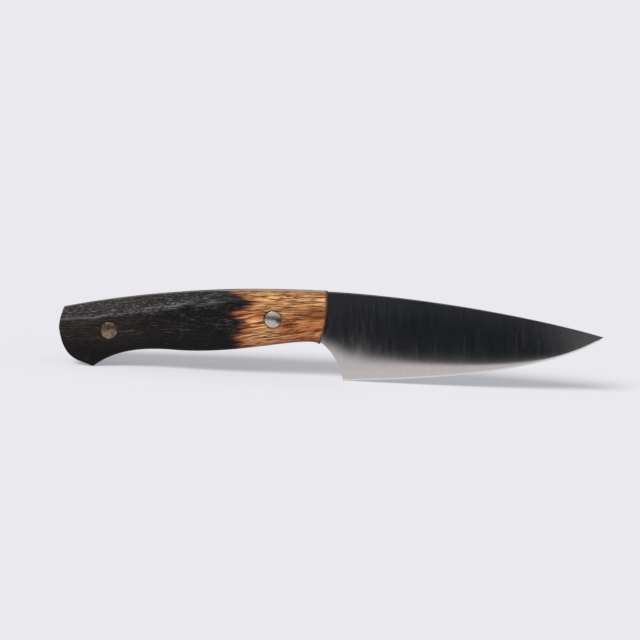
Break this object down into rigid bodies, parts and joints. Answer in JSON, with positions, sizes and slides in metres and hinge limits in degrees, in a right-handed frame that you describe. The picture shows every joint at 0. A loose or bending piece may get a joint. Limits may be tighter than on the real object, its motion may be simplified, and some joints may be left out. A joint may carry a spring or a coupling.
{
  "type": "bar knife",
  "caption": "Short fixed-blade bar knife: pointed full-tang blade ground to a fine edge, pinned oak handle scales charred black towards the butt.",
  "frame": {"origin": "on the floor below the knife as it stands on its heel and on the beak of its butt, midway between butt and tip, in the blade's middle plane", "axes": "+X towards the tip, +Y across the thickness to the left-hand side, +Z from the cutting edge towards the spine"},
  "size_m": [0.2057, 0.0172, 0.0335],
  "materials": {
    "blade_steel": "satin, with fine scratches from spine to edge",
    "charred_oak": "open-pored oak, charred black from the butt past the middle, oiled brown at the front",
    "epoxy": "dark resin bond line",
    "pin_steel": "polished dome",
    "pin_tinted": "polished dome, stained brown, finely scratched"
  },
  "bodies": {
    "root": {"blade_with_tang": "blade_steel", "bond_film_right": "epoxy", "bond_film_left": "epoxy", "handle_scale_right": "charred_oak", "handle_scale_left": "charred_oak", "rear_pin": "pin_tinted", "front_pin": "pin_steel"}
  },
  "joints": []
}
